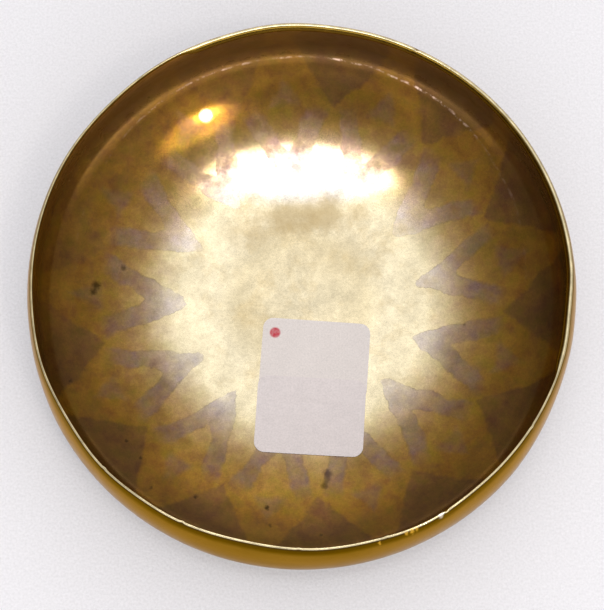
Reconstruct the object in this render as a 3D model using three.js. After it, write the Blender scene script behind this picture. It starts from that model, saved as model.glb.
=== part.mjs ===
// A small round brass dish, raised from one sheet, with two blank paper stickers inside it.
// Millimetres, +Z up. The origin is the middle of the flat disc that the dish stands on.

import * as THREE from 'three';

// The dish: sizes of its outside, from the disc it stands on up to the lip.
const rimRadius = 52;
const dishHeight = 27.5;
const bellyRadius = 54.4;
const bellyDrop = 13;
const footRadius = 12;

// The sheet it is made from, and the lip, which is hammered back to be thicker than the sheet.
const sheetThickness = 1.1;
const lipThickness = 1.6;
const lipHeight = 3;
const lipFlat = 0.45;
const lipRounding = 0.2;
const lipBevelHeight = 0.7;

// The stickers: one size of paper, stuck one over the other's lower edge.
const stickerWidth = 22;
const stickerHeight = 16;
const stickerCorner = 2.1;
const paperThickness = 0.2;
const paperClearance = 0.25;
const stickerOverlap = 4;
const stickerTurn = THREE.MathUtils.degToRad(-4);
const lowerStickerTurn = THREE.MathUtils.degToRad(0.6);
const lowerStickerShift = -0.1;
const stickerCentre = new THREE.Vector2(2.6, -10.3);
const overlapRamp = 1.6;

// How finely the round surfaces are cut into flat ones.
const dishSegments = 72;
const bottomSteps = 15;
const wallSteps = 6;
const roundingSteps = 3;
const stickerColumns = 14;
const stickerRows = 12;

// Colours from the photograph.
const brassColour = 0xa5803a;
const upperPaperColour = 0xd5cace;
const lowerPaperColour = 0xddd3d8;

const bellyHeight = dishHeight - bellyDrop;

// The outside of the dish as radius and height: 0 to 1 runs from the disc's edge up to the belly,
// on a quarter of an ellipse that leaves the disc level, and 1 to 2 from the belly up to the lip.
function outsideAt(run) {
  if (run <= 1) {
    const angle = run * Math.PI / 2;
    const radius = footRadius + (bellyRadius - footRadius) * Math.sin(angle);
    return new THREE.Vector2(radius, bellyHeight * (1 - Math.cos(angle)));
  }
  const climb = run - 1;
  const bulge = (bellyRadius - rimRadius) * (1 - climb * climb);
  return new THREE.Vector2(rimRadius + bulge, bellyHeight + bellyDrop * climb);
}

// Which way the sheet's inner face lies from a place on the outside.
function inwardAt(run) {
  const step = 1e-4;
  const before = outsideAt(Math.max(run - step, 0));
  const after = outsideAt(Math.min(run + step, 2));
  const along = after.sub(before).normalize();
  return new THREE.Vector2(-along.y, along.x);
}

// The wall's thickness: the plain sheet, growing to the lip's over the lip's height.
function thicknessAt(height) {
  const intoLip = THREE.MathUtils.smoothstep(height, dishHeight - lipHeight, dishHeight);
  return sheetThickness + (lipThickness - sheetThickness) * intoLip;
}

function insideAt(run) {
  const outside = outsideAt(run);
  return outside.clone().addScaledVector(inwardAt(run), thicknessAt(outside.y));
}

// The places along the outside, closer together where it turns most.
function runsUpTheWall() {
  const runs = [];
  for (let i = 0; i <= bottomSteps; i += 1) {
    runs.push(i / bottomSteps);
  }
  const lastHeight = dishHeight - lipBevelHeight;
  for (let i = 1; i <= wallSteps; i += 1) {
    const height = bellyHeight + (lastHeight - bellyHeight) * i / wallSteps;
    runs.push(1 + (height - bellyHeight) / bellyDrop);
  }
  return runs;
}

function dishGeometry() {
  const runs = runsUpTheWall();
  const outline = [new THREE.Vector2(0, 0)];
  runs.forEach((run) => outline.push(outsideAt(run)));
  const roundingTop = rimRadius - lipRounding;
  for (let i = 0; i <= roundingSteps; i += 1) {
    const angle = i / roundingSteps * Math.PI / 2;
    const x = roundingTop + lipRounding * Math.cos(angle);
    outline.push(new THREE.Vector2(x, dishHeight - lipRounding + lipRounding * Math.sin(angle)));
  }
  outline.push(new THREE.Vector2(roundingTop - lipFlat, dishHeight));
  runs.reverse().forEach((run) => outline.push(insideAt(run)));
  outline.push(new THREE.Vector2(0, sheetThickness));
  const geometry = new THREE.LatheGeometry(outline, dishSegments);
  geometry.rotateX(Math.PI / 2);
  return geometry;
}

// The height of the bowl's inner face at a distance from its middle.
function floorHeight(distance) {
  if (distance <= footRadius) {
    return sheetThickness;
  }
  let low = 0;
  let high = 1;
  for (let i = 0; i < 40; i += 1) {
    const middle = (low + high) / 2;
    if (insideAt(middle).x < distance) {
      low = middle;
    } else {
      high = middle;
    }
  }
  return insideAt(low).y;
}

// A sticker's centre in plan, found from the upper sticker's own axes.
function besideSticker(right, up) {
  const offset = new THREE.Vector2(right, up).rotateAround(new THREE.Vector2(), stickerTurn);
  return offset.add(stickerCentre);
}

// How far below the upper sticker's lower edge a place in plan lies.
function belowUpperSticker(place) {
  const local = place.clone().sub(stickerCentre).rotateAround(new THREE.Vector2(), -stickerTurn);
  return -stickerHeight / 2 - local.y;
}

function noLift() {
  return 0;
}

// The lower sticker climbs over the paper of the upper one, and comes down past its edge.
function liftOverUpperSticker(place) {
  const below = belowUpperSticker(place) - paperClearance;
  const down = THREE.MathUtils.smoothstep(below, 0, overlapRamp);
  return (paperThickness + paperClearance) * (1 - down);
}

// A thin sheet of paper with round corners that follows the bowl's floor, as one closed solid.
function stickerGeometry(centre, turn, lift) {
  const positions = [];
  for (const level of [0, paperThickness]) {
    for (let row = 0; row <= stickerRows; row += 1) {
      const sweep = -Math.cos(row / stickerRows * Math.PI);
      const up = sweep * stickerHeight / 2;
      const intoCorner = Math.max(Math.abs(up) - (stickerHeight / 2 - stickerCorner), 0);
      const cornerInset = stickerCorner - Math.sqrt(Math.max(stickerCorner ** 2 - intoCorner ** 2, 0));
      const halfWidth = stickerWidth / 2 - cornerInset;
      for (let column = 0; column <= stickerColumns; column += 1) {
        const right = (2 * column / stickerColumns - 1) * halfWidth;
        const place = new THREE.Vector2(right, up).rotateAround(new THREE.Vector2(), turn).add(centre);
        const height = floorHeight(place.length()) + paperClearance + lift(place) + level;
        positions.push(place.x, place.y, height);
      }
    }
  }
  const across = stickerColumns + 1;
  const layer = across * (stickerRows + 1);
  const faces = [];
  const quad = (a, b, c, d) => faces.push(a, b, c, a, c, d);
  for (let row = 0; row < stickerRows; row += 1) {
    for (let column = 0; column < stickerColumns; column += 1) {
      const corner = row * across + column;
      quad(corner, corner + across, corner + across + 1, corner + 1);
      quad(layer + corner, layer + corner + 1, layer + corner + across + 1, layer + corner + across);
    }
    const left = row * across;
    const right = left + stickerColumns;
    quad(left, layer + left, layer + left + across, left + across);
    quad(right, right + across, layer + right + across, layer + right);
  }
  for (let column = 0; column < stickerColumns; column += 1) {
    const top = stickerRows * across + column;
    quad(column, column + 1, layer + column + 1, layer + column);
    quad(top, layer + top, layer + top + 1, top + 1);
  }
  const geometry = new THREE.BufferGeometry();
  geometry.setAttribute('position', new THREE.Float32BufferAttribute(positions, 3));
  geometry.setIndex(faces);
  geometry.computeVertexNormals();
  return geometry;
}

function piece(name, geometry, material) {
  const mesh = new THREE.Mesh(geometry, material);
  mesh.name = name;
  return mesh;
}

const brass = new THREE.MeshStandardMaterial({ color: brassColour, metalness: 1, roughness: 0.32 });
const upperPaper = new THREE.MeshStandardMaterial({ color: upperPaperColour, metalness: 0, roughness: 0.85 });
const lowerPaper = new THREE.MeshStandardMaterial({ color: lowerPaperColour, metalness: 0, roughness: 0.85 });

const lowerCentre = besideSticker(lowerStickerShift, stickerOverlap - stickerHeight);

const dish = new THREE.Group();
dish.add(piece('dish_bowl', dishGeometry(), brass));
dish.add(piece('upper_sticker', stickerGeometry(stickerCentre, stickerTurn, noLift), upperPaper));
dish.add(piece(
  'lower_sticker',
  stickerGeometry(lowerCentre, stickerTurn + lowerStickerTurn, liftOverUpperSticker),
  lowerPaper,
));

export default dish;
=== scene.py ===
import functools
import math

import bpy
from mathutils import Matrix, Vector


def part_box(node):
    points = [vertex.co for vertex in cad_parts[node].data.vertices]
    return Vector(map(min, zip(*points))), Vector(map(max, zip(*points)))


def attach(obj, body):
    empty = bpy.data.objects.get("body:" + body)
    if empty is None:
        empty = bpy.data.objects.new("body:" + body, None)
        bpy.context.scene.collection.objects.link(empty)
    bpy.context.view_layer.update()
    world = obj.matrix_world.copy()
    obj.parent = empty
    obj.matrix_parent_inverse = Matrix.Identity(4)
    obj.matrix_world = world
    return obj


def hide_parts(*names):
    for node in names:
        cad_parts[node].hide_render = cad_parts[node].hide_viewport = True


# A small old brass dish, raised by hand from one sheet, with a ring of tinned chevrons worn into
# its floor and two blank paper stickers in it. Metres; +Z up; the dish stands on the table at z = 0.

bl_info = {
    "name": "Small brass dish",
    "version": (1, 0, 0),
    "blender": (4, 5, 0),
    "location": "View3D > Sidebar > Brass dish",
    "description": "Models a small tinned brass dish with two paper stickers, and the table it stands on",
    "category": "Add Mesh",
}

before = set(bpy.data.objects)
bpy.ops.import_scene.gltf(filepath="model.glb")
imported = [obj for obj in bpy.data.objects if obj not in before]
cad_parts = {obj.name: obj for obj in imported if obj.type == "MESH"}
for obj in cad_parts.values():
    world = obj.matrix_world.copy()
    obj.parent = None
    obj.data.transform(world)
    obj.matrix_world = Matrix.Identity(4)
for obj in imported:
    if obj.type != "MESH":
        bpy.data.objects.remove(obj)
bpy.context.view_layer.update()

MM = 0.001

# The photograph's frame, in pixels, and the lens that took it, in the same pixels.
PHOTO_WIDTH = 604
LENS_PIXELS = 1766.3
SENSOR_WIDTH = 36


def degrees(value):
    return math.radians(value)


def length(name, description, default):
    return bpy.props.FloatProperty(
        name=name, description=description, default=default, unit="LENGTH", subtype="DISTANCE", precision=5
    )


def angle(name, description, default):
    return bpy.props.FloatProperty(name=name, description=description, default=default, subtype="ANGLE")


def glow(name, description, default):
    return bpy.props.FloatProperty(name=name, description=description, default=default, min=0)


def hex_to_linear(text):
    """An sRGB hex colour as linear red, green, blue and an alpha of one."""
    channels = [int(text[i:i + 2], 16) / 255 for i in (0, 2, 4)]
    linear = [c / 12.92 if c <= 0.04045 else ((c + 0.055) / 1.055) ** 2.4 for c in channels]
    return (*linear, 1.0)


def colour(name, description, text):
    return bpy.props.FloatVectorProperty(
        name=name, description=description, default=hex_to_linear(text), size=4, min=0, max=1, subtype="COLOR"
    )


class DishSettings(bpy.types.PropertyGroup):
    """Sizes and colours of the dish."""

    height: length("Height", "From the table to the lip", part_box("dish_bowl")[1].z)
    belly_radius: length(
        "Belly radius", "Widest radius of the wall, with room for hammer marks",
        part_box("dish_bowl")[1].x - 0.1 * MM,
    )
    rim_radius: length("Rim radius", "Radius of the lip's outer edge", 52 * MM)
    belly_drop: length("Belly drop", "How far below the lip the wall is widest", 13 * MM)
    foot_radius: length("Foot radius", "Radius of the flat disc it stands on", 12 * MM)
    floor_radius: length("Floor radius", "Radius of the level floor inside", 14.5 * MM)
    sheet: length("Sheet", "Thickness of the raised sheet", 1.1 * MM)
    lip: length("Lip", "Thickness of the sheet at the lip", 1.6 * MM)
    lip_height: length("Lip height", "Height over which the sheet thickens to the lip", 3 * MM)
    thin_lip: length("Thin lip", "Thickness of the sheet where the lip was left thin", 0.6 * MM)
    lip_flat: length("Lip flat", "Width of the flat filed on top of the lip, where it is thick", 0.28 * MM)
    lip_bevel: length("Lip bevel", "Height of the rounded edge inside the thick part of the lip", 0.8 * MM)
    thin_lip_bevel: length("Thin lip bevel", "Height of that edge where the lip stays thin", 0.3 * MM)
    thick_lip_start: angle("Thick lip start", "Where the thick part of the lip begins", degrees(-20))
    thick_lip_end: angle("Thick lip end", "Where the thick part of the lip ends", degrees(116))
    segments: bpy.props.IntProperty(
        name="Segments", description="Faces round the dish", default=512, min=64, max=1024
    )
    floor_brass: colour("Floor brass", "Clean pale brass of the floor", "D5C8AA")
    golden_brass: colour("Golden brass", "Aged brass between the tinned shapes", "916D30")
    wall_brass: colour("Wall brass", "Brown brass up the wall", "694915")
    dome_brass: colour("Dome brass", "Brown tarnish of the domes up the wall", "654829")
    outside_brass: colour("Outside brass", "Ochre brass of the outside", "8A6A30")
    lip_brass: colour("Lip brass", "Bright brass worn by hands on top of the lip", "DBCBA3")
    bevel_brass: colour("Bevel brass", "Polished golden brass of the lip's inner edge", "8D702A")
    tin: colour("Tin", "Worn tin nearest the floor", "BBAEA5")
    dark_tin: colour("Dark tin", "Thin tin over brass, further out", "80695A")


class PaperSettings(bpy.types.PropertyGroup):
    """Sizes, places and colours of the paper stickers."""

    width: length("Width", "Long side of a sticker", 22 * MM)
    height: length("Height", "Short side of a sticker", 16 * MM)
    corner: length("Corner", "Radius of its corners", 2.1 * MM)
    paper: length("Paper", "Thickness of the paper", 0.12 * MM)
    across: length("Across", "Middle of the upper one, right of the dish's middle", 2.6 * MM)
    along: length("Along", "Middle of the upper one, beyond the dish's middle", -10.3 * MM)
    turn: angle("Turn", "Turn of the upper one", degrees(-4))
    overlap: length("Overlap", "How far the lower one laps over the upper one", 4 * MM)
    lower_shift: length("Lower shift", "How far the lower one is stuck to the right", -0.1 * MM)
    lower_turn: angle("Lower turn", "Turn of the lower one against the upper one", degrees(0.6))
    upper_paper: colour("Upper paper", "White paper, slightly greyed", "F8EFEC")
    lower_paper: colour("Lower paper", "White paper", "F5EBEB")
    ink: colour("Ink", "Red ink of the dot", "D02C44")


class StageSettings(bpy.types.PropertyGroup):
    """The table, the lamps and the camera."""

    table: colour("Table", "Near-white cloth of the table", "F0EEF3")
    table_radius: length("Table radius", "Radius of the table top", 4.0)
    glow_lean: angle("Glow lean", "How far beyond straight up the soft light is centred", degrees(12.5))
    room_glow: glow("Room glow", "Strength of the pale room's own light", 1.25)
    window_glow: glow("Window glow", "Brightness of the ceiling window, against white", 6.4)
    bulb_glow: glow("Bulb glow", "Brightness of the bare bulb, against white", 80)
    shade_glow: glow("Shade glow", "Brightness of the lamp shade round the bulb, against white", 2.7)
    camera_distance: length("Camera distance", "From the lens to the middle of the mouth", 0.338)
    camera_tilt: angle("Camera tilt", "Lean of the line from the mouth to the lens", degrees(14.73))
    camera_aim: angle("Camera aim", "How far the lens looks past the mouth's middle", degrees(-0.89))


def add_node(tree, kind, inputs=(), stops=(), **settings):
    """Adds one shader node, its kind named without the ShaderNode before it, with its settings, colour
    stops, and links and plain values, in the order of its inputs or by name, and returns its outputs."""
    made = tree.nodes.new("ShaderNode" + kind)
    for name, value in settings.items():
        setattr(made, name, value)
    for i, (position, shade) in enumerate(stops):
        elements = made.color_ramp.elements
        stop = elements[i] if i < 2 else elements.new(position)
        stop.position = position
        stop.color = shade
    for key, value in inputs.items() if isinstance(inputs, dict) else enumerate(inputs):
        if isinstance(value, bpy.types.NodeSocket):
            tree.links.new(value, made.inputs[key])
        else:
            made.inputs[key].default_value = value
    return made.outputs


def new_material(name):
    """An empty material, and the function that adds nodes to it."""
    material = bpy.data.materials.new(name)
    material.use_nodes = True
    material.node_tree.nodes.clear()
    return material, functools.partial(add_node, material.node_tree)


# The dish's section, as in the solid it replaces.


def outside_at(dish, run):
    """Radius and height of the outside: 0 to 1 from the resting disc to the belly, 1 to 2 up to the lip."""
    belly_height = dish.height - dish.belly_drop
    if run <= 1:
        turn = run * math.pi / 2
        radius = dish.foot_radius + (dish.belly_radius - dish.foot_radius) * math.sin(turn)
        return Vector((radius, belly_height * (1 - math.cos(turn))))
    climb = run - 1
    bulge = (dish.belly_radius - dish.rim_radius) * (1 - climb * climb)
    return Vector((dish.rim_radius + bulge, belly_height + dish.belly_drop * climb))


def smooth(value, low, high):
    """Eases from 0 at low to 1 at high."""
    share = min(max((value - low) / (high - low), 0), 1)
    return share * share * (3 - 2 * share)


def inside_at(dish, run, lip):
    """The inner face, one thickness of the sheet in from the outside, which grows to that of the lip."""
    step = 1e-4
    along = (outside_at(dish, min(run + step, 2)) - outside_at(dish, max(run - step, 0))).normalized()
    inward = Vector((-along.y, along.x))
    outside = outside_at(dish, run)
    into_lip = smooth(outside.y, dish.height - dish.lip_height, dish.height)
    return outside + inward * (dish.sheet + (lip - dish.sheet) * into_lip)


def flat_floor(dish, rings):
    """Lets the inner face run out level before the middle, where the sheet was left a little thicker."""
    run_out = 8 * MM
    flat = [rings[0].copy()]
    for outer, inner in zip(rings, rings[1:]):
        slope = smooth((outer.x + inner.x) / 2, dish.floor_radius, dish.floor_radius + run_out)
        flat.append(Vector((inner.x, flat[-1].y + (inner.y - outer.y) * slope)))
    return flat


def section_rings(dish, lip, lip_bevel):
    """Each ring of the dish as radius, height and finish (0 outside, 0.25 top of the lip, 0.5 its
    bevel, 1 inside), from under the middle, over the lip, down to the middle of the floor."""
    disc_rings = 3
    bottom_rings = 34
    wall_rings = 16
    lip_rings = 5
    floor_rings = 50
    lip_rounding = 0.2 * MM
    shoulder_drop = 0.15
    shoulder_width = 0.6
    top_run = 2 - lip_rounding / dish.belly_drop
    bevel_run = 2 - lip_bevel / dish.belly_drop

    outside = [Vector((dish.foot_radius * i / disc_rings, 0)) for i in range(1, disc_rings + 1)]
    outside += [outside_at(dish, i / bottom_rings) for i in range(1, bottom_rings + 1)]
    outside += [outside_at(dish, 1 + (top_run - 1) * i / wall_rings) for i in range(1, wall_rings + 1)]

    top = []
    flat_outer = dish.rim_radius - lip_rounding
    for i in range(1, lip_rings + 1):
        turn = i / lip_rings * math.pi / 2
        drop = lip_rounding * (1 - math.sin(turn))
        top.append(Vector((flat_outer + lip_rounding * math.cos(turn), dish.height - drop)))
    flat_inner = Vector((flat_outer - dish.lip_flat * lip / dish.lip, dish.height))
    top.append(flat_inner)

    bevel_foot = inside_at(dish, bevel_run, lip)
    bevel_width = flat_inner.x - bevel_foot.x
    shoulder = Vector((flat_inner.x - shoulder_width * bevel_width, dish.height - shoulder_drop * lip_bevel))
    bevel = []
    for i in range(1, lip_rings + 1):
        share = i / lip_rings
        bevel.append(flat_inner.lerp(shoulder, share).lerp(shoulder.lerp(bevel_foot, share), share))
    inside = []
    for i in range(1, wall_rings + 1):
        inside.append(inside_at(dish, bevel_run + (1 - bevel_run) * i / wall_rings, lip))
    inside += flat_floor(dish, [inside_at(dish, 1 - i / floor_rings, lip) for i in range(1, floor_rings + 1)])
    floor = inside[-1].y
    inside += [Vector((dish.foot_radius * i / disc_rings, floor)) for i in range(disc_rings - 1, 0, -1)]
    finished = ((outside, 0.0), (top, 0.25), (bevel, 0.5), (inside, 1.0))
    return [(*ring, finish) for rings, finish in finished for ring in rings]


def deselect_all():
    for item in bpy.context.selected_objects:
        item.select_set(False)


def close_ring():
    """Closes the selected ring with a fan of faces."""
    bpy.ops.mesh.edge_face_add()
    bpy.ops.mesh.poke()


def raise_dish(dish):
    """Draws the sheet out ring by ring from a circle, as a raiser works it, and closes both middles."""
    rings = section_rings(dish, dish.lip, dish.lip_bevel)
    first_radius, first_height, _ = rings[0]
    deselect_all()
    bpy.ops.mesh.primitive_circle_add(
        vertices=dish.segments, radius=first_radius, fill_type="NOTHING", location=(0, 0, first_height)
    )
    bowl = bpy.context.object
    bowl.name = bowl.data.name = "raised_bowl"
    bpy.ops.object.mode_set(mode="EDIT")
    bpy.ops.mesh.select_mode(type="EDGE")
    for (radius, height, _), (next_radius, next_height, _) in zip(rings, rings[1:]):
        bpy.ops.mesh.extrude_region_move(TRANSFORM_OT_translate={"value": (0, 0, next_height - height)})
        scale = next_radius / radius
        bpy.ops.transform.resize(value=(scale, scale, 1), center_override=(0, 0, 0))
    close_ring()
    bpy.ops.mesh.select_all(action="DESELECT")
    bpy.ops.mesh.select_non_manifold(extend=False)
    close_ring()
    bpy.ops.mesh.select_all(action="SELECT")
    bpy.ops.mesh.normals_make_consistent(inside=False)
    bpy.ops.object.mode_set(mode="OBJECT")
    return bowl


def mark_finish(bowl, dish):
    """Keeps on each point which finish its ring has, so that the material follows the dented sheet."""
    rings = section_rings(dish, dish.lip, dish.lip_bevel)
    finish = bowl.data.attributes.new("finish", "FLOAT", "POINT")
    tolerance = 0.01 * MM
    for vertex, value in zip(bowl.data.vertices, finish.data):
        radius = math.hypot(vertex.co.x, vertex.co.y)
        ring = vertex.index // dish.segments
        if ring < len(rings):
            if max(abs(radius - rings[ring][0]), abs(vertex.co.z - rings[ring][1])) > tolerance:
                raise RuntimeError("The rings of the dish are out of order")
            value.value = rings[ring][2]
        else:
            value.value = 1.0 if vertex.co.z > dish.sheet / 2 else 0.0


def thin_the_lip(bowl, dish):
    """Leaves the lip thin where it was not hammered back, by moving its inner rings out."""
    thick = section_rings(dish, dish.lip, dish.lip_bevel)
    thin = section_rings(dish, dish.thin_lip, dish.thin_lip_bevel)
    step = degrees(2.4)
    middle = (dish.thick_lip_start + dish.thick_lip_end) / 2
    half = (dish.thick_lip_end - dish.thick_lip_start) / 2
    for vertex in bowl.data.vertices:
        ring = vertex.index // dish.segments
        if ring >= len(thick) or thick[ring] == thin[ring]:
            continue
        azimuth = math.atan2(vertex.co.y, vertex.co.x)
        away = abs((azimuth - middle + math.pi) % (2 * math.pi) - math.pi)
        share = smooth(away, half - step, half + step)
        radius = thick[ring][0] + (thin[ring][0] - thick[ring][0]) * share
        height = thick[ring][1] + (thin[ring][1] - thick[ring][1]) * share
        vertex.co = (radius * math.cos(azimuth), radius * math.sin(azimuth), height)


# Where the lip is out of round or damaged: azimuth in degrees, then outward push and reach in millimetres.
OUT_OF_ROUND = [
    (95, 0.28, 13), (136, -0.25, 16), (198, 0.28, 12), (224, 0.26, 11),
    (258, -0.42, 16), (296, 0.36, 13), (353, -0.35, 9),
]
LIP_DAMAGE = [
    (64.1, -0.35, 0.8), (225, -0.14, 0.7), (244.5, -0.18, 0.7), (269, -0.12, 0.6), (287.7, -0.12, 0.6),
    (300.6, 0.22, 0.9), (326, 0.12, 0.7),
]

# Where the belly is a little flat: azimuth in degrees, then outward push and reach in millimetres.
FLAT_BELLY = [
    (-26, -0.34, 16), (-13, -0.38, 16), (0, -0.38, 16), (13, -0.36, 16), (26, -0.3, 16),
    (168, -0.24, 16), (181, -0.26, 16), (194, -0.24, 16),
]


def push(bowl, radius, height, azimuth, out, reach):
    """Pushes the wall in or out at one place, and what is near it along, as with a mallet."""
    away = Vector((math.cos(azimuth), math.sin(azimuth), 0))
    place = away * radius + Vector((0, 0, height))
    nearest = min(bowl.data.vertices, key=lambda vertex: (vertex.co - place).length_squared)
    for part in (bowl.data.polygons, bowl.data.edges, bowl.data.vertices):
        part.foreach_set("select", [False] * len(part))
    nearest.select = True
    bpy.ops.object.mode_set(mode="EDIT")
    bpy.ops.transform.translate(
        value=away * out,
        use_proportional_edit=True,
        proportional_edit_falloff="SMOOTH",
        proportional_size=reach,
    )
    bpy.ops.object.mode_set(mode="OBJECT")


def shape_by_hand(bowl, dish):
    """Takes the dish out of round and nicks its lip as the years have."""
    bpy.ops.object.mode_set(mode="EDIT")
    bpy.ops.mesh.select_mode(type="VERT")
    bpy.ops.object.mode_set(mode="OBJECT")
    for azimuth, out, reach in FLAT_BELLY:
        push(bowl, dish.belly_radius, dish.height - dish.belly_drop, degrees(azimuth), out * MM, reach * MM)
    for azimuth, out, reach in OUT_OF_ROUND + LIP_DAMAGE:
        push(bowl, dish.rim_radius, dish.height, degrees(azimuth), out * MM, reach * MM)


def group_hammered(bowl, dish):
    """Groups the points that the hammer reached, fading out at the lip and at the resting disc."""
    group = bowl.vertex_groups.new(name="hammered")
    fade = 2 * MM
    smooth_lip = 0.8 * MM
    for vertex in bowl.data.vertices:
        below_lip = smooth(dish.height - smooth_lip - vertex.co.z, 0, fade)
        off_disc = smooth(math.hypot(vertex.co.x, vertex.co.y), dish.foot_radius, dish.foot_radius + 4 * fade)
        if vertex.co.z > dish.sheet / 2:
            off_disc = 0.5 + 0.5 * off_disc
        group.add([vertex.index], below_lip * off_disc, "REPLACE")


def apply_modifier(item, name, kind, **settings):
    """Gives the active object a modifier with its settings, and applies it."""
    modifier = item.modifiers.new(name, kind)
    for setting, value in settings.items():
        setattr(modifier, setting, value)
    bpy.ops.object.modifier_apply(modifier=name)


def hammer(bowl, name, facet, depth):
    """Leaves shallow hammer marks of one size all over, save on the lip and the resting disc."""
    texture = bpy.data.textures.new(name, "CLOUDS")
    texture.noise_scale = facet
    texture.noise_depth = 0
    apply_modifier(
        bowl, name, "DISPLACE",
        texture=texture, texture_coords="LOCAL", strength=depth, mid_level=0.5, vertex_group="hammered",
    )


# The worn pattern inside, measured in millimetres and degrees: 13 chevrons round a point a little
# off the middle, and beyond them a row of small grey triangles and brown domes.
REPEATS = 13
FIRST_CHEVRON = 11.85
PATTERN_MIDDLE = (0, 0.6, 0)
WEAR_MIDDLE = (0, 1.8, 0)
HALF_REPEAT = 180 / REPEATS

# The arches that draw it: how far out each one's apex lies, its spread and the power that it opens by.
CHEVRON = (23.4, 2.68, 0.56)
LEAF_IN_CHEVRON = (31.8, 1.98, 0.6)
DOME = (40.8, 1.7, 0.8)

# How far the wear reaches from its middle, in millimetres: the distance that its tones run to.
WEAR_REACH = 54

# Where the tin still silvers the brass between the chevrons, laid round the window's reflection so that
# its fringe reads white: partly worn tin, partly painted highlight. x, y, half-width and half-length in
# millimetres and how strongly, and what it does to the red, green and blue.
SILVER_AND_HIGHLIGHT = (-1, 31, 32, 10, 0.9)
SILVER_AND_HIGHLIGHT_CAST = (1.0, 1.12, 1.8)

# Each kind of cloud reads the same noise somewhere else, so that they don't fall on each other.
TARNISH_SHIFT = (70, 0, 0)
DULL_SHIFT = (0, 70, 0)
BLOOM_SHIFT = (0, -70, 0)

# Dark specks and pits inside: x, y and radius in millimetres, and how dark.
SPECKS = [
    (-42.0, 4.2, 1.3, 0.7), (-42.5, 2.8, 1.1, 0.65), (-36.7, 8.2, 0.9, 0.6), (-46.1, -16.4, 0.45, 0.5),
    (-34.9, -28.1, 0.5, 0.6), (-32, -31.5, 0.55, 0.6), (-29.7, -37.7, 0.5, 0.5), (-21.1, -39.3, 0.6, 0.7),
    (-6.9, -41.3, 0.7, 0.75), (-6.3, -45, 0.5, 0.5), (3.7, -46.9, 0.5, 0.5), (33.1, -3.6, 0.4, 0.4),
    (5.1, -34.3, 1.4, 0.6), (4.9, -35.6, 1.0, 0.45), (4.5, -36.7, 1.1, 0.55),
]

# Scuffs that show bright metal just under the lip, and a painted glint on the lip, which is the first,
# near-white entry: x, y and radius in millimetres, how strong, and their tone.
SCUFFS_AND_GLINT = [
    (25.6, -45.2, 0.9, 1.0, "FFF8E4"), (21.2, -48.0, 0.5, 0.7, "E8B84A"), (20.3, -48.4, 0.6, 0.8, "E8B84A"),
    (19.3, -48.8, 0.45, 0.7, "E8B84A"), (14.4, -50.6, 0.4, 0.7, "E8B84A"),
]

# Dull patches of tarnish on the floor: x, y, half-width and half-length in millimetres, and how dark.
STAINS = [(1.5, 20.0, 14.0, 4.2, 0.3), (-10.0, 16.0, 9.0, 4.0, 0.12), (8.0, 12.0, 9.0, 6.0, 0.08)]

# A painted highlight: the bulb's bright spot on the wall, with a painted glow round it: x, y and radius
# in millimetres.
BULB_GLINT = (-20.0, 40.3, 1.7)

# A painted reflection: the tilted, broken pale line of light round the wall. Its height in millimetres
# over the middle, and how much it rises for each millimetre across and along.
REFLECTION_LINE_HEIGHT = 6.7
REFLECTION_LINE_TILT = (-0.0045, 0.084, 0)

# A MapRange is given a value, the two ends that it runs between, and what they turn into unless that is 0
# and 1. This setting lets it run in and out smoothly.
EASED = {"interpolation_type": "SMOOTHSTEP"}


def in_millimetres(add):
    """The place that is being shaded, on the object."""
    position = add("TexCoord")["Object"]
    return add("VectorMath", {0: position, "Scale": 1 / MM}, operation="SCALE")[0]


def mottle(add, place, size, low, high):
    """Cloudy variation with patches of one size in millimetres, between two multipliers."""
    cloud = add("TexNoise", {"Vector": place, "Scale": 1 / size, "Detail": 4.0, "Roughness": 0.6})[0]
    return add("MapRange", [cloud, 0.3, 0.7, low, high])[0]


def clouded(add, place, shade, clouds):
    """A colour under several mottles, each with its size and its two multipliers."""
    for size, low, high in clouds:
        strength = mottle(add, place, size, low, high)
        shade = add("VectorMath", {0: shade, "Scale": strength}, operation="SCALE")[0]
    return shade


def stray(add, place, scale, detail, reach):
    """A smooth random shift, up to half its reach in millimetres each way."""
    noise = add("TexNoise", {"Vector": place, "Scale": scale, "Detail": detail})["Color"]
    centred = add("VectorMath", [noise, (0.5, 0.5, 0.5)], operation="SUBTRACT")[0]
    return add("VectorMath", {0: centred, "Scale": reach}, operation="SCALE")[0]


def near(add, place, x, y, edge, core, shape=(1, 1, 0), ragged=0.0):
    """The share of a spot at a place: 0 from its edge outward, 1 within its core. Both are in millimetres,
    or in shares of a half-width and half-length where one over those is the spot's shape."""
    away = add("VectorMath", [place, (x, y, 0)], operation="SUBTRACT")[0]
    away = add("VectorMath", [away, shape], operation="MULTIPLY")[0]
    away = add("VectorMath", [away], operation="LENGTH")["Value"]
    away = add("Math", [away, ragged], operation="ADD")[0]
    return add("MapRange", [away, edge, core], **EASED)[0]


def arch(add, across, radius, softness, apex, spread, power):
    """The share of an arch at a place, over a soft edge in millimetres. Its half-width in degrees is
    spread times the distance beyond its apex to a power."""
    beyond = add("Math", [radius, apex], operation="SUBTRACT")[0]
    beyond = add("Math", [beyond, 0.0], operation="MAXIMUM")[0]
    half = add("Math", [beyond, power], operation="POWER")[0]
    half = add("Math", [half, spread], operation="MULTIPLY")[0]
    inside = add("Math", [half, across], operation="SUBTRACT")[0]
    arc = add("Math", [radius, math.pi / 180], operation="MULTIPLY")[0]
    inside = add("Math", [inside, arc], operation="MULTIPLY")[0]
    return add("MapRange", [inside, 0.02, softness], **EASED)[0]


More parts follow.
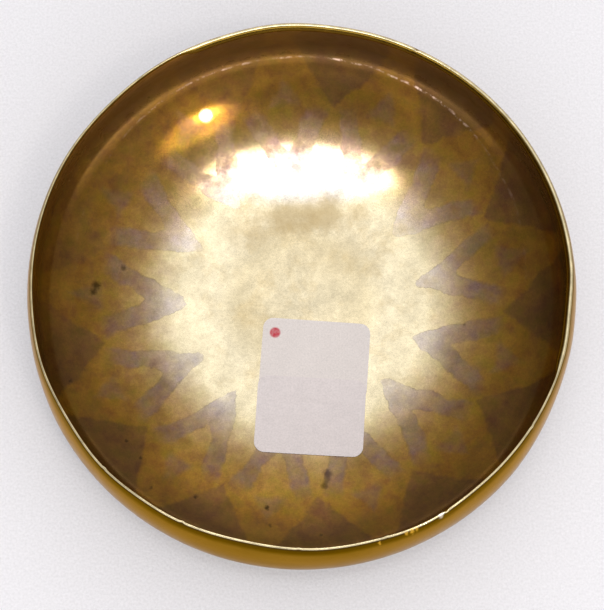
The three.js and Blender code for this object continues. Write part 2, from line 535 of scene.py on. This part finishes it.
def worn_pattern(add, place):
    """Shares of the tinned chevrons, the grey triangles, the brown domes and the chevrons' dark outline at
    a place in millimetres, and the radius from the middle of the wear."""
    moved = place
    for scale, detail, reach in ((0.16, 1.0, 2.2), (0.45, 2.0, 1.3), (1.3, 4.0, 0.6)):
        moved = add("VectorMath", [moved, stray(add, place, scale, detail, reach)], operation="ADD")[0]

    round_pattern = add("VectorMath", [moved, PATTERN_MIDDLE], operation="SUBTRACT")[0]
    parts = add("SeparateXYZ", [round_pattern])
    azimuth = add("Math", [parts["Y"], parts["X"]], operation="ARCTAN2")[0]
    azimuth = add("Math", [azimuth, 180 / math.pi, -FIRST_CHEVRON], operation="MULTIPLY_ADD")[0]
    across = add("Math", [azimuth, HALF_REPEAT], operation="PINGPONG")[0]
    from_dome = add("Math", [HALF_REPEAT, across], operation="SUBTRACT")[0]

    round_wear = add("VectorMath", [moved, WEAR_MIDDLE], operation="SUBTRACT")[0]
    flat = add("VectorMath", [round_wear, (1, 1, 0)], operation="MULTIPLY")[0]
    radius = add("VectorMath", [flat], operation="LENGTH")["Value"]
    softness = add("MapRange", [radius, 28.0, 40.0, 0.35, 1.2])[0]

    chevron = arch(add, across, radius, softness, *CHEVRON)
    leaf = arch(add, across, radius, softness, *LEAF_IN_CHEVRON)
    not_leaf = add("Math", [1.0, leaf], operation="SUBTRACT")[0]
    before_end = add("MapRange", [radius, 42.2, 39.0], **EASED)[0]
    for share in (not_leaf, before_end):
        chevron = add("Math", [chevron, share], operation="MULTIPLY")[0]

    half = add("MapRange", [radius, 41.1, 47.6, 5.6, 0.0])[0]
    inside = add("Math", [half, across], operation="SUBTRACT")[0]
    triangle = add("MapRange", [inside, 0.0, 2.2], **EASED)[0]
    after_base = add("MapRange", [radius, 40.3, 42.2], **EASED)[0]
    triangle = add("Math", [triangle, after_base], operation="MULTIPLY")[0]

    # The domes are worn away towards the far left.
    dome = arch(add, from_dome, radius, softness, *DOME)
    far_left = add("VectorMath", [place, (-0.76, 0.65, 0)], operation="DOT_PRODUCT")["Value"]
    kept = add("MapRange", [far_left, 30.0, 46.0, 1.0, 0.3])[0]
    dome = add("Math", [dome, kept], operation="MULTIPLY")[0]
    bare = add("Math", [1.0, chevron], operation="SUBTRACT")[0]
    outline = add("Math", [chevron, bare], operation="MULTIPLY")[0]
    sharp = add("MapRange", [radius, 39.0, 31.0, 0.0, 4.0])[0]
    outline = add("Math", [outline, sharp], operation="MULTIPLY")[0]
    return chevron, triangle, dome, outline, radius


def wear_tones(add, radius, dish):
    """Bare brass, tin and brown tarnish in the tones that the wear leaves at each distance from its middle,
    in millimetres: paler where it scoured most."""
    bare = {
        0: dish.floor_brass, 13: "D4C5A2", 18: "E0D3B4", 25.5: "E0D2B0", 29: "C6B48E", 33: "B09261",
        37: "9C793F", 41: dish.golden_brass, 45: "815C21", 49: dish.wall_brass, 54: "53380D",
    }
    tinned = {
        23: "C2B6AA", 27: dish.tin, 31: "9A8577", 33: "876F5F", 36: dish.dark_tin, 41: "7A5F4A", 46: "6C5139",
    }
    tarnished = {41: "795835", 45: dish.dome_brass, 49: "4E3418", 54: "3D2A10"}
    reached = add("Math", [radius, 1 / WEAR_REACH], operation="MULTIPLY")[0]
    ramps = []
    for tones in (bare, tinned, tarnished):
        stops = [
            (distance / WEAR_REACH, hex_to_linear(tone) if isinstance(tone, str) else tone)
            for distance, tone in tones.items()
        ]
        ramps.append(add("ValToRGB", [reached], stops=stops)["Color"])
    return ramps


def worn_inside(add, place, dish):
    """Golden brass between dull grey tinned shapes, with brown domes and clouds of tarnish further out and
    duller patches on the clean floor. Returns the colour, how much tin is left, and the distance from the
    middle of the wear."""
    chevron, triangle, dome, outline, radius = worn_pattern(add, place)
    golden, tinned, browned = wear_tones(add, radius, dish)
    outward = add("MapRange", [radius, 25.0, 41.0])[0]
    tin_left = add("MapRange", [outward, 0.3, 1.0, 1.0, 0.85])[0]
    chevron = add("Math", [chevron, tin_left], operation="MULTIPLY")[0]
    triangle = add("Math", [triangle, 0.7], operation="MULTIPLY")[0]
    grey = add("Math", [chevron, triangle], operation="MAXIMUM")[0]
    patchy = mottle(add, place, 3.0, 0.4, 1.1)
    grey = add("Math", [grey, patchy], operation="MULTIPLY", use_clamp=True)[0]

    # Paler, bluer brass round the window's reflection: partly worn tin, partly painted highlight.
    x, y, across, along, strength = SILVER_AND_HIGHLIGHT
    silvered_highlight = near(add, place, x, y, 1.0, 0.4, (1 / across, 1 / along, 0))
    silvered_highlight = add("Math", [silvered_highlight, strength], operation="MULTIPLY")[0]
    silver_highlight_tone = add("VectorMath", [golden, SILVER_AND_HIGHLIGHT_CAST], operation="MULTIPLY")[0]
    golden = add("Mix", {0: silvered_highlight, 6: golden, 7: silver_highlight_tone}, data_type="RGBA")[2]

    cloudy = mottle(add, place, 6.0, 0.55, 1.05)
    brown = add("Math", [dome, cloudy], operation="MULTIPLY", use_clamp=True)[0]
    inside = golden
    for share, tone in ((grey, tinned), (brown, browned)):
        inside = add("Mix", {0: share, 6: inside, 7: tone}, data_type="RGBA")[2]
    still_clean = add("Math", [1.0, outward], operation="SUBTRACT")[0]
    for shift, size, low, here, tone in (
        (TARNISH_SHIFT, 4.0, -0.45, outward, browned),
        (DULL_SHIFT, 7.0, -0.5, still_clean, hex_to_linear("B8A070")),
    ):
        elsewhere = add("VectorMath", [place, shift], operation="ADD")[0]
        cloud = mottle(add, elsewhere, size, low, 0.5)
        cloud = add("Math", [cloud, here], operation="MULTIPLY", use_clamp=True)[0]
        inside = add("Mix", {0: cloud, 6: inside, 7: tone}, data_type="RGBA")[2]
    inside = clouded(
        add, place, inside, ((9, 0.84, 1.12), (2.2, 0.92, 1.07), (0.6, 0.9, 1.08), (0.25, 0.86, 1.12))
    )

    bloom = add("VectorMath", [place, BLOOM_SHIFT], operation="ADD")[0]
    bloom = add("TexNoise", {"Vector": bloom, "Scale": 0.3, "Detail": 4.0, "Roughness": 0.6})[0]
    bloom = add(
        "ValToRGB", [bloom],
        stops=[(0.32, (0.84, 0.71, 0.96, 1)), (0.5, (1.0, 0.97, 0.94, 1)), (0.68, (0.9, 1.0, 0.74, 1))],
    )["Color"]
    bloomed = add("VectorMath", [inside, bloom], operation="MULTIPLY")[0]
    inside = add("Mix", {0: outward, 6: inside, 7: bloomed}, data_type="RGBA")[2]
    outline = add("Math", [outline, mottle(add, place, 3, 0.0, 0.35)], operation="MULTIPLY")[0]
    lined = add("Math", [1.0, outline], operation="SUBTRACT")[0]
    inside = add("VectorMath", {0: inside, "Scale": lined}, operation="SCALE")[0]
    return inside, grey, radius


def marked(add, place, shaken, inside):
    """The inside with its stains and dark specks, and a painted highlight: the bulb's bright spot on the
    wall, with a painted glow round it.
    """
    for x, y, across, along, darkness in STAINS:
        ragged = mottle(add, place, 4, -0.3, 0.3)
        stain = near(add, place, x, y, 1.2, 0.3, (1 / across, 1 / along, 0), ragged)
        stain = add("Math", [stain, 2 * darkness], operation="MULTIPLY")[0]
        inside = add("Mix", {0: stain, 6: inside, 7: hex_to_linear("A48C5E")}, data_type="RGBA")[2]
    for x, y, size, darkness in SPECKS:
        speck = near(add, shaken, x, y, size, 0.2 * size)
        left = add("Math", [speck, -darkness, 1.0], operation="MULTIPLY_ADD")[0]
        inside = add("VectorMath", {0: inside, "Scale": left}, operation="SCALE")[0]
    # The painted highlight of the bulb on the wall, and its painted glow.
    x, y, size = BULB_GLINT
    spot = near(add, place, x, y, size, 0.3 * size)
    inside = add("Mix", {0: spot, 6: inside, 7: hex_to_linear("D6C294")}, data_type="RGBA")[2]
    painted_glow = near(add, place, x, y, 7.0, 2.0)
    painted_glow = add("Math", [painted_glow, 0.35, 1.0], operation="MULTIPLY_ADD")[0]
    return add("VectorMath", {0: inside, "Scale": painted_glow}, operation="SCALE")[0]


def painted_wall_reflection(add, place, where, inside):
    """The inside with a painted reflection: a pale broken line round its wall, strongest at the far side and
    the right.
    """
    wander = add("Math", [where["Z"], mottle(add, place, 8.0, -0.2, 0.2)], operation="ADD")[0]
    line = add("VectorMath", [place, REFLECTION_LINE_TILT], operation="DOT_PRODUCT")["Value"]
    line = add("Math", [line, REFLECTION_LINE_HEIGHT], operation="ADD")[0]
    off_line = add("Math", [wander, line], operation="SUBTRACT")[0]
    off_line = add("Math", [off_line], operation="ABSOLUTE")[0]
    reflected_line = add("MapRange", [off_line, 0.2, 0.04])[0]
    for size, low, high in ((9.0, -0.2, 1.3), (1.3, -0.7, 1.3)):
        broken = mottle(add, place, size, low, high)
        broken = add("Math", [broken, 1.0], operation="MULTIPLY", use_clamp=True)[0]
        reflected_line = add("Math", [reflected_line, broken], operation="MULTIPLY")[0]
    for axis, low, high, least in (("Y", 33.0, 41.0, 0.15), ("X", -25.0, 22.0, 0.35), ("Y", 0.0, 20.0, 0.0)):
        share = add("MapRange", [where[axis], low, high, least])[0]
        reflected_line = add("Math", [reflected_line, share], operation="MULTIPLY")[0]
    return add("Mix", {0: reflected_line, 6: inside, 7: hex_to_linear("D9B8A6")}, data_type="RGBA")[2]


def filmed_wall(add, place, where, inside):
    """The inside with its wall paler higher up and the thin brown film near the lip on the far side.
    Returns the colour and how thick the film is."""
    lift = add("MapRange", [where["Z"], 7.0, 11.5, 1.0, 2.1])[0]
    inside = add("VectorMath", {0: inside, "Scale": lift}, operation="SCALE")[0]
    film = add("MapRange", [where["Z"], 9.5, 13.5], **EASED)[0]
    far_wall = add("Math", [where["Y"], 0.03, -0.2], operation="MULTIPLY_ADD", use_clamp=True)[0]
    for share in (far_wall, mottle(add, place, 3.5, 0.35, 0.6)):
        film = add("Math", [film, share], operation="MULTIPLY")[0]
    inside = add("Mix", {0: film, 6: inside, 7: hex_to_linear("6E5030")}, data_type="RGBA")[2]
    return inside, film


def ochre_outside(add, place, height, dish):
    """The outside: ochre brass, with painted shade that makes it browner and darker low down towards the
    belly and just under the lip, and cloudy with tarnish underneath.
    """
    # Painted shade: browner and darker towards the belly.
    painted_shade_low_down = add("MapRange", [height, 21.0, 14.0])[0]
    under = add("MapRange", [height, 8.0, 2.0])[0]
    under = add("Math", [under, mottle(add, place, 7.0, 0.1, 0.8)], operation="MULTIPLY")[0]
    outside = dish.outside_brass
    for share, tone in ((painted_shade_low_down, "60440F"), (under, "4A3A20")):
        outside = add("Mix", {0: share, 6: outside, 7: hex_to_linear(tone)}, data_type="RGBA")[2]
    outside = clouded(add, place, outside, ((6, 0.85, 1.1), (1.2, 0.93, 1.06)))
    # Painted shade: darker just under the lip.
    painted_shade_under_lip = add("MapRange", [height, 24.3, 25.8, 1.0, 0.3])[0]
    return add("VectorMath", {0: outside, "Scale": painted_shade_under_lip}, operation="SCALE")[0]


def tinned_brass(dish):
    """Brass raised by hand, wiped with tin inside and worn by years of scouring and polish: pale and
    clean on the floor, golden between dull grey chevrons, browner and darker up the wall, ochre outside."""
    material, add = new_material("hand_raised_tinned_brass")
    place = in_millimetres(add)
    where = add("SeparateXYZ", [place])
    shaken = add("VectorMath", [place, stray(add, place, 1.5, 3.0, 1.0)], operation="ADD")[0]

    inside, grey, radius = worn_inside(add, place, dish)
    inside = marked(add, place, shaken, inside)
    # A painted reflection: a pale line round the wall.
    inside = painted_wall_reflection(add, place, where, inside)
    inside, film = filmed_wall(add, place, where, inside)
    lip = clouded(add, place, dish.lip_brass[:3], ((3, 0.6, 1.1),))
    bevel = clouded(add, place, dish.bevel_brass[:3], ((3, 0.75, 1.1),))

    finish = add("Attribute", attribute_name="finish")["Fac"]
    off_outside, on_bevel, on_inside = (
        add("MapRange", [finish, low, high])[0]
        for low, high in ((0.05, 0.2), (0.3, 0.45), (0.6, 0.9))
    )
    shade = ochre_outside(add, place, where["Z"], dish)
    for share, tone in ((off_outside, lip), (on_bevel, bevel), (on_inside, inside)):
        shade = add("Mix", {0: share, 6: shade, 7: tone}, data_type="RGBA")[2]
    # Bright scuffs, and the painted glint on the lip.
    for x, y, size, strength, tone in SCUFFS_AND_GLINT:
        scuff_and_glint = near(add, shaken, x, y, size, 0.2 * size)
        by_lip = add("MapRange", [where["Z"], 24.5, 25.5, 0.0, strength])[0]
        scuff_and_glint = add("Math", [scuff_and_glint, by_lip], operation="MULTIPLY")[0]
        shade = add("Mix", {0: scuff_and_glint, 6: shade, 7: hex_to_linear(tone)}, data_type="RGBA")[2]

    # The browner the wall and the thicker the film, the less of it is bare metal. Tin, film, the outside
    # and the lip's edge are duller than the scoured floor.
    up_wall = add("MapRange", [radius, 40.0, 51.0], **EASED)[0]
    up_wall = add("Math", [up_wall, on_inside], operation="MULTIPLY")[0]
    film = add("Math", [film, on_inside], operation="MULTIPLY")[0]
    on_outside = add("Math", [1.0, off_outside], operation="SUBTRACT")[0]
    on_edge = add("Math", [on_bevel, on_inside], operation="SUBTRACT")[0]
    metallic = 1.0
    for share, change in ((up_wall, -0.5), (film, -0.3)):
        metallic = add("Math", [share, change, metallic], operation="MULTIPLY_ADD")[0]
    rough = 0.115
    for share, change in ((up_wall, 0.05), (film, 0.4), (grey, 0.12), (on_outside, 0.1), (on_edge, 0.12)):
        rough = add("Math", [share, change, rough], operation="MULTIPLY_ADD")[0]
    rough = add("Math", [mottle(add, place, 3, 0.8, 1.2), rough], operation="MULTIPLY")[0]

    # Real polishing scratches are too fine to show here, so they are drawn a third of a millimetre wide.
    scratches = add("TexNoise", {"Vector": place, "Scale": 3.0, "Detail": 3.0})[0]
    bump = add("Bump", {"Height": scratches, "Strength": 0.01, "Distance": 0.1 * MM})[0]
    surface = add(
        "BsdfPrincipled",
        {
            "Base Color": shade, "Metallic": metallic, "Roughness": rough, "Normal": bump,
            "Specular Tint": hex_to_linear("FCDCAC"),
        },
    )[0]
    add("OutputMaterial", {"Surface": surface})
    return material


# Where the red ink dot sits on the upper sticker, and its radius, in millimetres.
DOT_PLACE = (-5.51, -4.79)
DOT_RADIUS = 1.05


def ink_dot(add, place, paper, ink):
    """Paper with a soft round dot of red ink pressed into it, paler where the ink ran thin."""
    inked = near(add, place, *DOT_PLACE, DOT_RADIUS + 0.25, DOT_RADIUS - 0.2)
    thin = mottle(add, place, 0.7, 0.65, 1.1)
    inked = add("Math", [inked, thin], operation="MULTIPLY")[0]
    return add("Mix", {0: inked, 6: paper, 7: ink}, data_type="RGBA")[2]


def sticker_paper(name, shade, ink=None):
    """Matt woodfree sticker paper, calendered: faint cloudy fibres that just catch the light, no gloss, and
    the dot if there is ink for it. Single fibres are too fine to show, so they are drawn as clumps of a
    third of a millimetre."""
    material, add = new_material(name)
    place = in_millimetres(add)
    paper = clouded(add, place, shade[:3], ((0.35, 0.88, 1.06), (3.0, 0.96, 1.01)))
    if ink is not None:
        paper = ink_dot(add, place, paper, ink)
    fibres = add("TexNoise", {"Vector": place, "Scale": 4.0, "Detail": 4.0})[0]
    bump = add("Bump", {"Height": fibres, "Strength": 0.1, "Distance": 0.03 * MM})[0]
    surface = add("BsdfPrincipled", {"Base Color": paper, "Roughness": 0.75, "Normal": bump})[0]
    add("OutputMaterial", {"Surface": surface})
    return material


def cut_paper(name, centre, turn, papers):
    """Cuts a sticker with round corners out of a flat sheet above the dish, and scores it finely enough
    to bend."""
    deselect_all()
    bpy.ops.mesh.primitive_plane_add(size=1)
    sticker = bpy.context.object
    sticker.name = sticker.data.name = name
    sticker.scale = (papers.width, papers.height, 1)
    bpy.ops.object.transform_apply(location=False, rotation=False, scale=True)
    bpy.ops.object.mode_set(mode="EDIT")
    bpy.ops.mesh.select_mode(type="VERT")
    bpy.ops.mesh.select_all(action="SELECT")
    bpy.ops.mesh.bevel(offset=papers.corner, offset_type="OFFSET", segments=8, affect="VERTICES")
    spacing = 0.8 * MM
    for side, direction in ((papers.width, Vector((1, 0, 0))), (papers.height, Vector((0, 1, 0)))):
        cuts = round(side / spacing)
        for i in range(1, cuts):
            bpy.ops.mesh.select_all(action="SELECT")
            bpy.ops.mesh.bisect(plane_co=direction * (side * (i / cuts - 0.5)), plane_no=direction)
    bpy.ops.object.mode_set(mode="OBJECT")
    sticker.location = (centre.x, centre.y, bpy.context.scene.brass_dish.height)
    sticker.rotation_euler.z = turn
    bpy.ops.object.transform_apply(location=True, rotation=True, scale=False)
    return sticker


def press_onto(sticker, bowl, gap):
    """Presses a flat sticker straight down onto the floor of the dish."""
    apply_modifier(
        sticker, "press", "SHRINKWRAP",
        target=bowl, wrap_method="PROJECT", use_project_z=True, use_negative_direction=True,
        use_positive_direction=False, offset=gap,
    )


def give_thickness(sticker, papers):
    """Gives a pressed sticker the thickness of its paper, upward."""
    apply_modifier(sticker, "paper", "SOLIDIFY", thickness=papers.paper, offset=1)
    bpy.ops.object.shade_smooth_by_angle(angle=degrees(35))


def lift_over(sticker, centre, papers):
    """Raises the lower sticker where it lies over the paper of the upper one, and lets it down past it."""
    ramp = 1.4 * MM
    gap = 0.05 * MM
    for vertex in sticker.data.vertices:
        offset = Vector((vertex.co.x, vertex.co.y)) - centre
        offset.rotate(Matrix.Rotation(-papers.turn, 2))
        below = -papers.height / 2 - offset.y
        beside = abs(offset.x) - papers.width / 2
        down = max(smooth(below, gap, ramp), smooth(beside, 0, ramp))
        vertex.co.z += (papers.paper + gap) * (1 - down)


class BRASSDISH_OT_raise_bowl(bpy.types.Operator):
    """Raises the bowl of the dish from a sheet, hammers it and finishes its brass"""

    bl_idname = "brass_dish.raise_bowl"
    bl_label = "Raise bowl"

    def execute(self, context):
        dish = context.scene.brass_dish
        bowl = raise_dish(dish)
        mark_finish(bowl, dish)
        thin_the_lip(bowl, dish)
        group_hammered(bowl, dish)
        hammer(bowl, "planishing", facet=9 * MM, depth=0.014 * MM)
        hammer(bowl, "ripple", facet=4 * MM, depth=0.005 * MM)
        shape_by_hand(bowl, dish)
        bpy.ops.object.shade_smooth_by_angle(angle=degrees(50))
        bowl.data.materials.append(tinned_brass(dish))
        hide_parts("dish_bowl")
        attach(bowl, "root")
        return {"FINISHED"}


class BRASSDISH_OT_stick_papers(bpy.types.Operator):
    """Sticks the two blank paper stickers inside the dish"""

    bl_idname = "brass_dish.stick_papers"
    bl_label = "Stick papers"

    def execute(self, context):
        papers = context.scene.brass_papers
        bowl = bpy.data.objects["raised_bowl"]
        centre = Vector((papers.across, papers.along))
        glue = 0.03 * MM

        upper = cut_paper("upper_paper", centre, papers.turn, papers)
        press_onto(upper, bowl, glue)
        give_thickness(upper, papers)
        upper.data.materials.append(sticker_paper("upper_sticker_paper", papers.upper_paper, papers.ink))
        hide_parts("upper_sticker")
        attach(upper, "root")

        down = Vector((papers.lower_shift, papers.overlap - papers.height))
        down.rotate(Matrix.Rotation(papers.turn, 2))
        lower = cut_paper("lower_paper", centre + down, papers.turn + papers.lower_turn, papers)
        press_onto(lower, bowl, glue)
        lift_over(lower, centre, papers)
        give_thickness(lower, papers)
        lower.data.materials.append(sticker_paper("lower_sticker_paper", papers.lower_paper))
        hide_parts("lower_sticker")
        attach(lower, "root")
        return {"FINISHED"}


def table_cloth(stage):
    """Close-woven white cloth, starched and pressed: matt, with a fine even grain. Its threads are too fine
    to show, so the grain is drawn at half a millimetre."""
    material, add = new_material("pressed_white_table_cloth")
    place = in_millimetres(add)
    cloth = clouded(add, place, stage.table[:3], ((0.5, 0.91, 1.05),))
    grain = add("TexNoise", {"Vector": place, "Scale": 1.6, "Detail": 3.0})[0]
    bump = add("Bump", {"Height": grain, "Strength": 0.35, "Distance": 0.2 * MM})[0]
    # A faint glow that lights nothing else keeps the cloth as pale as in the photograph.
    rays = add("LightPath")
    seen = rays["Is Camera Ray"]
    for ray in ("Is Glossy Ray", "Is Transmission Ray"):
        seen = add("Math", [seen, rays[ray]], operation="ADD")[0]
    lift = add("Math", [seen, 0.06], operation="MULTIPLY")[0]
    surface = add(
        "BsdfPrincipled",
        {
            "Base Color": cloth, "Roughness": 0.9, "Normal": bump,
            "Emission Color": (1, 1, 1, 1), "Emission Strength": lift,
        },
    )[0]
    add("OutputMaterial", {"Surface": surface})
    return material


def lay_table(stage):
    """Lays the table a hair under the resting disc, so that the two flat faces never share a plane."""
    hair = 0.02 * MM
    deselect_all()
    bpy.ops.mesh.primitive_circle_add(
        vertices=96, radius=stage.table_radius, fill_type="TRIFAN", location=(0, 0, -hair)
    )
    table = bpy.context.object
    table.name = table.data.name = "table"
    table.data.materials.append(table_cloth(stage))


# How bright the ceiling is at each angle from the middle of its glow, in degrees.
CEILING = {0: 1.15, 11: 1.15, 16: 0.82, 23: 0.66, 52: 0.64, 66: 0.42, 90: 0.32, 180: 0.6}

# The side of the room that is brighter: the viewer's, and a little to the right.
BRIGHT_SIDE = (0.55, -0.83, 0)

# A dark flag above the viewer and a pale board across the table: the direction of each, the cosines of
# its edge and of its even part, and how bright it makes the room there.
BOARDS = [((-0.08, -0.49, 0.87), 0.95, 0.985, 0.66), ((0.06, 0.75, 0.66), 0.93, 0.985, 1.5)]

# Low white screens: the direction of each, the cosines of its edge and of its even part across, how high
# it reaches, and its strength.
SCREENS = [
    ((0.1, -0.99, 0.0), 0.15, 0.6, 0.5, 0.75), ((0.2, -0.98, 0.0), 0.3, 0.8, 0.3, 1.8),
    ((0.0, 1.0, 0.0), 0.5, 0.85, 0.26, 1.3),
]


def light_room(stage):
    """A pale room: soft light from straight above, a duller ceiling round it that is brighter along the
    line of sight and on the viewer's side, a flag and a board in it, and low white screens."""
    world = bpy.data.worlds.new("soft_studio")
    world.use_nodes = True
    world.node_tree.nodes.clear()
    add = functools.partial(add_node, world.node_tree)
    direction = add("TexCoord")["Generated"]
    middle = (0, math.sin(stage.glow_lean), math.cos(stage.glow_lean))
    cosine = add("VectorMath", [direction, middle], operation="DOT_PRODUCT")["Value"]
    away = add("Math", [cosine], operation="ARCCOSINE")[0]
    away = add("Math", [away, 1 / math.pi], operation="MULTIPLY")[0]
    stops = [(turn / 180, (level, level, level, 1)) for turn, level in CEILING.items()]
    ceiling = add("ValToRGB", [away], stops=stops)["Color"]
    towards = add("VectorMath", [direction, BRIGHT_SIDE], operation="DOT_PRODUCT")["Value"]
    side = add("Math", [towards, 0.35, 1.0], operation="MULTIPLY_ADD")[0]
    squared = add("VectorMath", [direction, direction], operation="MULTIPLY")[0]
    long_way = add("VectorMath", [squared, (-1, 1, 0)], operation="DOT_PRODUCT")["Value"]
    side = add("Math", [long_way, 0.42, side], operation="MULTIPLY_ADD")[0]
    light = add("VectorMath", {0: ceiling, "Scale": side}, operation="SCALE")[0]

    height = add("SeparateXYZ", [direction])["Z"]
    above = add("MapRange", [height, 0.02, 0.12], **EASED)[0]
    for middle, edge, full, top, strength in SCREENS:
        screen = add("VectorMath", [direction, middle], operation="DOT_PRODUCT")["Value"]
        screen = add("MapRange", [screen, edge, full], **EASED)[0]
        below = add("MapRange", [height, top, top - 0.1], **EASED)[0]
        for share in (strength, below, above):
            screen = add("Math", [screen, share], operation="MULTIPLY")[0]
        light = add("VectorMath", [screen, light], operation="ADD")[0]
    for middle, edge, full, strength in BOARDS:
        middle = Vector(middle).normalized()
        board = add("VectorMath", [direction, middle], operation="DOT_PRODUCT")["Value"]
        board = add("MapRange", [board, edge, full, 1.0, strength], **EASED)[0]
        light = add("VectorMath", {0: light, "Scale": board}, operation="SCALE")[0]
    shine = add("Background", {"Color": light, "Strength": stage.room_glow})[0]
    add("OutputWorld", {"Surface": shine})
    bpy.context.scene.world = world


def overhead(right, nearer, away):
    """A place above the dish at a distance, and so many degrees off straight up, to the right and towards
    the viewer."""
    return Vector((math.tan(degrees(right)), -math.tan(degrees(nearer)), 1)).normalized() * away


def hang_lamp(name, shape, sizes, place, brightness, tone):
    """Hangs a lamp that faces the dish and has one brightness and tone all over."""
    deselect_all()
    bpy.ops.object.light_add(type="AREA", location=place)
    lamp = bpy.context.object
    lamp.name = lamp.data.name = name
    lamp.data.shape = shape
    lamp.data.size, lamp.data.size_y = sizes
    area = sizes[0] * sizes[1] * (math.pi / 4 if shape in {"DISK", "ELLIPSE"} else 1)
    lamp.data.energy = brightness * math.pi * area
    lamp.data.color = hex_to_linear(tone)[:3]
    lamp.rotation_euler = Vector((0, 0, 1)).rotation_difference(place).to_euler()
    return lamp


def set_camera(stage, height):
    """Puts the camera where the photograph was taken from, over the near edge of the dish."""
    away = stage.camera_distance
    place = (0, -away * math.sin(stage.camera_tilt), height + away * math.cos(stage.camera_tilt))
    deselect_all()
    bpy.ops.object.camera_add(location=place, rotation=(stage.camera_tilt + stage.camera_aim, 0, 0))
    camera = bpy.context.object
    camera.name = camera.data.name = "photograph_view"
    camera.data.sensor_fit = "HORIZONTAL"
    camera.data.sensor_width = SENSOR_WIDTH
    camera.data.lens = LENS_PIXELS * SENSOR_WIDTH / PHOTO_WIDTH
    camera.data.clip_start = 0.01
    bpy.context.scene.camera = camera


class BRASSDISH_OT_set_stage(bpy.types.Operator):
    """Lays the table and sets the lamps and the camera"""

    bl_idname = "brass_dish.set_stage"
    bl_label = "Set stage"

    def execute(self, context):
        stage = context.scene.brass_stage
        context.scene.view_settings.view_transform = "Standard"
        lay_table(stage)
        light_room(stage)
        window_place = Vector((0.012, -0.016, 1.1))
        bulb_place = overhead(18.6, 22.8, 1.5)
        shade_place = overhead(18.6, 18.5, 1.575)
        hang_lamp("ceiling_window", "ELLIPSE", (0.4, 0.165), window_place, stage.window_glow, "FFFFFF")
        bulb = hang_lamp("bare_bulb", "ELLIPSE", (0.035, 0.13), bulb_place, stage.bulb_glow, "FFF8EC")
        bulb.rotation_euler.rotate_axis("Z", degrees(26))
        hang_lamp("lamp_shade", "DISK", (0.4, 0.4), shade_place, stage.shade_glow, "FFF0D4")
        set_camera(stage, context.scene.brass_dish.height)
        return {"FINISHED"}


class BRASSDISH_PT_sidebar(bpy.types.Panel):
    """Lists the dish's operators and settings"""

    bl_label = "Brass dish"
    bl_category = "Brass dish"
    bl_space_type = "VIEW_3D"
    bl_region_type = "UI"

    def draw(self, context):
        layout = self.layout
        scene = context.scene
        for operator, settings in (
            ("brass_dish.raise_bowl", scene.brass_dish),
            ("brass_dish.stick_papers", scene.brass_papers),
            ("brass_dish.set_stage", scene.brass_stage),
        ):
            box = layout.box()
            box.operator(operator)
            for name in settings.__annotations__:
                box.prop(settings, name)


CLASSES = (
    DishSettings, PaperSettings, StageSettings,
    BRASSDISH_OT_raise_bowl, BRASSDISH_OT_stick_papers, BRASSDISH_OT_set_stage,
    BRASSDISH_PT_sidebar,
)


def register():
    for kind in CLASSES:
        bpy.utils.register_class(kind)
    bpy.types.Scene.brass_dish = bpy.props.PointerProperty(type=DishSettings)
    bpy.types.Scene.brass_papers = bpy.props.PointerProperty(type=PaperSettings)
    bpy.types.Scene.brass_stage = bpy.props.PointerProperty(type=StageSettings)


def unregister():
    del bpy.types.Scene.brass_stage
    del bpy.types.Scene.brass_papers
    del bpy.types.Scene.brass_dish
    for kind in reversed(CLASSES):
        bpy.utils.unregister_class(kind)


def main():
    register()
    bpy.ops.brass_dish.raise_bowl()
    bpy.ops.brass_dish.stick_papers()
    bpy.ops.brass_dish.set_stage()


if __name__ == "__main__":
    main()
